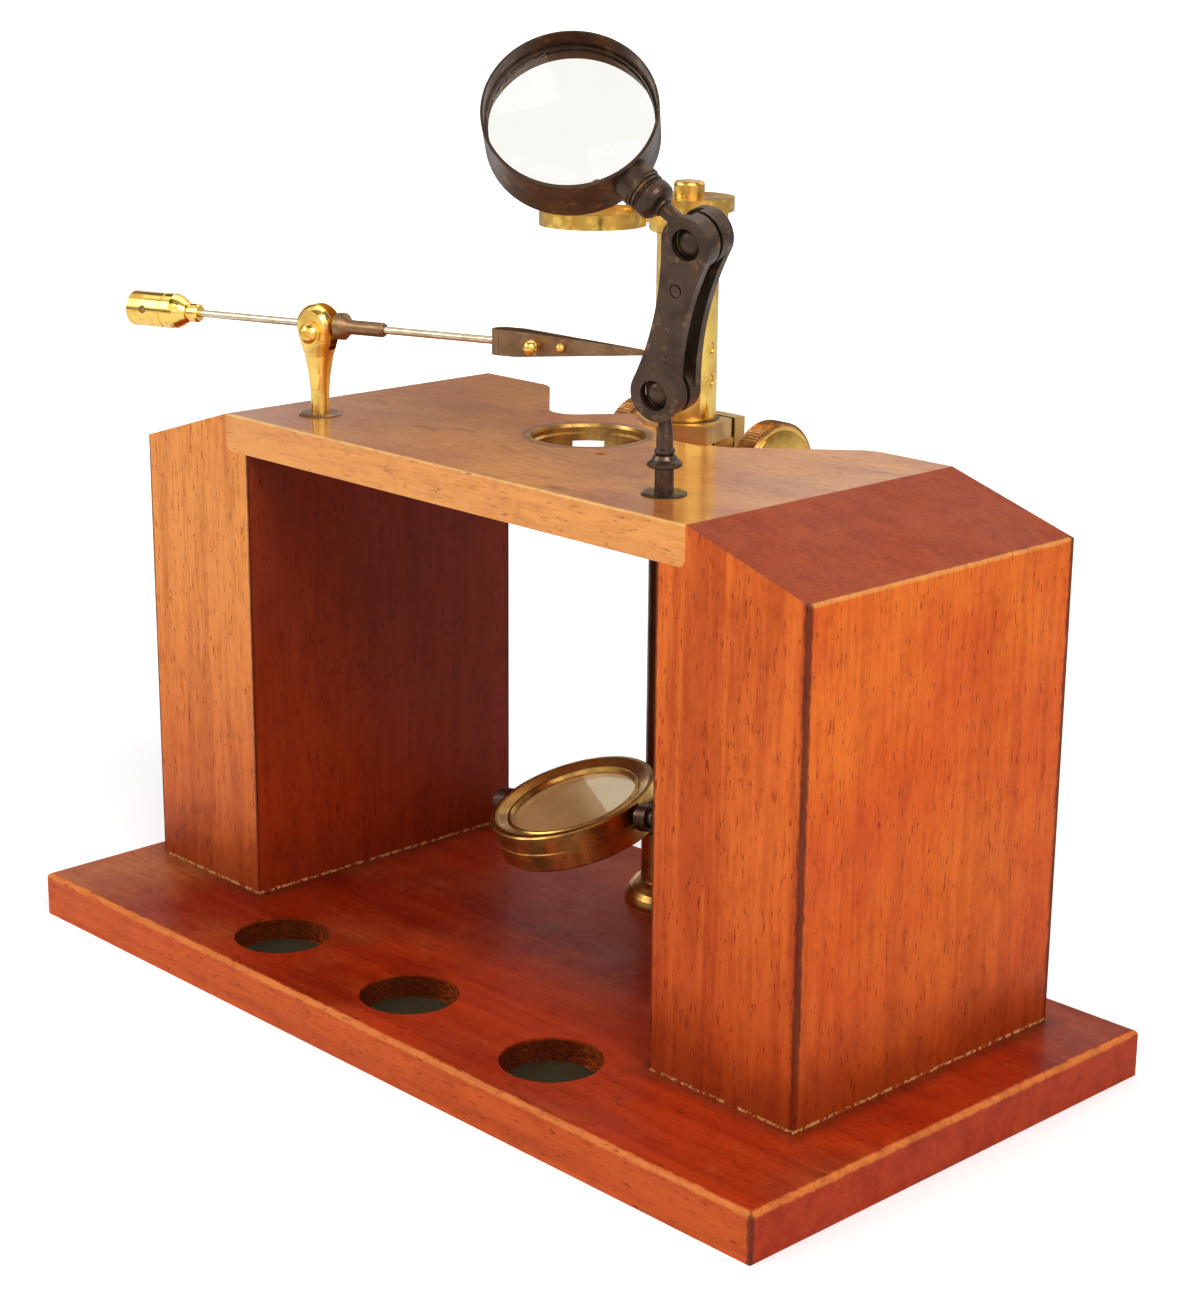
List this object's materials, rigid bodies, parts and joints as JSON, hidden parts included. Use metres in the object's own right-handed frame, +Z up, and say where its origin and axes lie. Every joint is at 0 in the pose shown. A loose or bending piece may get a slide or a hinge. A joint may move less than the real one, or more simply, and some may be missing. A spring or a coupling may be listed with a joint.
{
  "type": "dissecting magnifier stand",
  "caption": "Wooden bench magnifier stand with a ball-jointed lens, an empty lens arm on a rack slide, a needle clamp and a tilting mirror.",
  "frame": {"origin": "middle of the base board's underside", "axes": "+X to the right along the board's long side, +Y to the back, where the pillar stands, +Z up"},
  "size_m": [0.3, 0.154, 0.2753],
  "materials": {
    "mahogany_board": "French-polished mahogany, worn and dusty on top",
    "mahogany_block": "French-polished mahogany, faded",
    "mahogany_stage": "French-polished mahogany, faded and glossy",
    "felt": "dark green-grey felt",
    "steel": "dull steel",
    "nickel_silver": "tarnished nickel silver",
    "brass": "lacquered brass with patina",
    "bracket_brass": "dull lacquered brass",
    "gear_metal": "cut steel",
    "bronze": "blackened bronze with bright worn edges",
    "brown_bronze": "brown bronzed brass",
    "mirror_brass": "darkened brass",
    "lens_glass": "clear glass",
    "mirror_glass": "old silvered glass",
    "card": "plain card",
    "cork": "cork"
  },
  "bodies": {
    "stand": {"base_board": "mahogany_board", "left_block": "mahogany_block", "right_block": "mahogany_block", "stage_board": "mahogany_stage", "stage_ring": "brass", "well_felts": "felt", "block_screws": "steel", "pillar_foot": "brass", "pillar_nut": "brass", "pillar_tube": "brass", "pillar_collar": "bracket_brass", "collar_screws": "bracket_brass", "pinion_housing": "bracket_brass", "pinion_cover": "bracket_brass", "cover_screws": "bracket_brass", "magnifier_socket": "bronze", "forceps_socket": "brown_bronze"},
    "slide": {"column": "brass", "rack": "brass", "rack_screws": "brass", "arm_seat": "brass", "arm_screw": "brass"},
    "pinion_shaft": {"pinion": "gear_metal", "right_knob": "brass", "left_knob": "brass"},
    "arm": {"lens_arm": "brass"},
    "magnifier_foot": {"magnifier_post": "bronze"},
    "link": {"link_front": "bronze", "link_back": "bronze", "link_screws": "bronze"},
    "stem": {"magnifier_stem": "bronze"},
    "magnifier_head": {"lens_frame": "bronze", "lens": "lens_glass", "lens_keeper": "bronze", "frame_screw": "bronze"},
    "needle_post": {"forceps_post": "brass", "forceps_clamp": "brass"},
    "swivel": {"rod_swivel": "brown_bronze"},
    "sleeve": {"rod_sleeve": "brown_bronze"},
    "rod": {"forceps_rod": "nickel_silver", "cork_cell": "brass", "cork": "cork", "forceps_bow": "brown_bronze"},
    "front_jaw": {"front_blade": "brown_bronze", "front_stud": "brass"},
    "back_jaw": {"back_blade": "brown_bronze", "back_stud": "brass"},
    "mirror_carrier": {"mirror_collar": "bronze"},
    "fork": {"mirror_fork": "bronze", "pivot_screws": "bronze"},
    "mirror": {"mirror_cell": "mirror_brass", "mirror_back_cell": "mirror_brass", "plane_mirror": "mirror_glass", "concave_mirror": "mirror_glass", "mirror_packing": "card"}
  },
  "joints": [
    {"name": "column_slide", "type": "slide", "parent": "stand", "child": "slide", "axis": [0, 0, 1], "range_m": [-0.028, 0.036]},
    {"name": "pinion_turn", "type": "hinge", "parent": "stand", "child": "pinion_shaft", "pos_m": [-0.0033, 0.0633, 0.1493], "axis": [1, 0, 0], "range_deg": [-700, 545]},
    {"name": "arm_swing", "type": "hinge", "parent": "slide", "child": "arm", "pos_m": [-0.0033, 0.0537, 0.223], "axis": [0, 0, 1], "range_deg": [-110, 110]},
    {"name": "magnifier_swing", "type": "hinge", "parent": "stand", "child": "magnifier_foot", "pos_m": [0.0606, -0.0189, 0.165], "axis": [0, 0, 1], "continuous": true},
    {"name": "lower_ball", "type": "hinge", "parent": "magnifier_foot", "child": "link", "pos_m": [0.0606, -0.0189, 0.1881], "axis": [0.1758, -0.9674, -0.1822], "range_deg": [-12, 45]},
    {"name": "upper_ball", "type": "hinge", "parent": "link", "child": "stem", "pos_m": [0.07545, -0.02363, 0.22753], "axis": [0.1758, -0.9674, -0.1822], "range_deg": [-32, 40]},
    {"name": "magnifier_turn", "type": "hinge", "parent": "stem", "child": "magnifier_head", "pos_m": [0.06105, -0.02695, 0.2378], "axis": [-0.8001, -0.1847, 0.5707], "continuous": true},
    {"name": "needle_swing", "type": "hinge", "parent": "stand", "child": "needle_post", "pos_m": [-0.0811, -0.019, 0.165], "axis": [0, 0, 1], "range_deg": [-110, 14]},
    {"name": "needle_tilt", "type": "hinge", "parent": "needle_post", "child": "swivel", "pos_m": [-0.0811, -0.019, 0.1854], "axis": [0.3387, -0.9409, 0], "range_deg": [-8, 14]},
    {"name": "rod_turn", "type": "hinge", "parent": "swivel", "child": "sleeve", "pos_m": [-0.07357, -0.01629, 0.1874], "axis": [0.9409, 0.3387, 0], "continuous": true},
    {"name": "rod_slide", "type": "slide", "parent": "sleeve", "child": "rod", "axis": [0.9409, 0.3387, 0], "range_m": [-0.03, 0.03]},
    {"name": "front_blade_open", "type": "hinge", "parent": "rod", "child": "front_jaw", "pos_m": [-0.0226, -0.00113, 0.1874], "axis": [0, 0, -1], "range_deg": [0, 2.6], "stiffness_Nm_per_rad": 0.05},
    {"name": "back_blade_open", "type": "hinge", "parent": "rod", "child": "back_jaw", "pos_m": [-0.02463, 0.00452, 0.1874], "axis": [0, 0, 1], "range_deg": [0, 2.6], "stiffness_Nm_per_rad": 0.05},
    {"name": "mirror_swing", "type": "hinge", "parent": "stand", "child": "mirror_carrier", "pos_m": [-0.0033, 0.0537, 0.053], "axis": [0, 0, 1], "range_deg": [-85, 85]},
    {"name": "fork_turn", "type": "hinge", "parent": "mirror_carrier", "child": "fork", "pos_m": [-0.00259, 0.04016, 0.053], "axis": [0.0523, -0.9986, 0], "range_deg": [-40, 25]},
    {"name": "mirror_tilt", "type": "hinge", "parent": "fork", "child": "mirror", "pos_m": [-0.00097, 0.0092, 0.053], "axis": [0.9863, 0.0517, 0.1564], "continuous": true}
  ],
  "couplings": [
    {"joint": "pinion_turn", "follows": "column_slide", "rad_per_m": -333.33},
    {"joint": "back_blade_open", "follows": "front_blade_open", "ratio": 1}
  ]
}
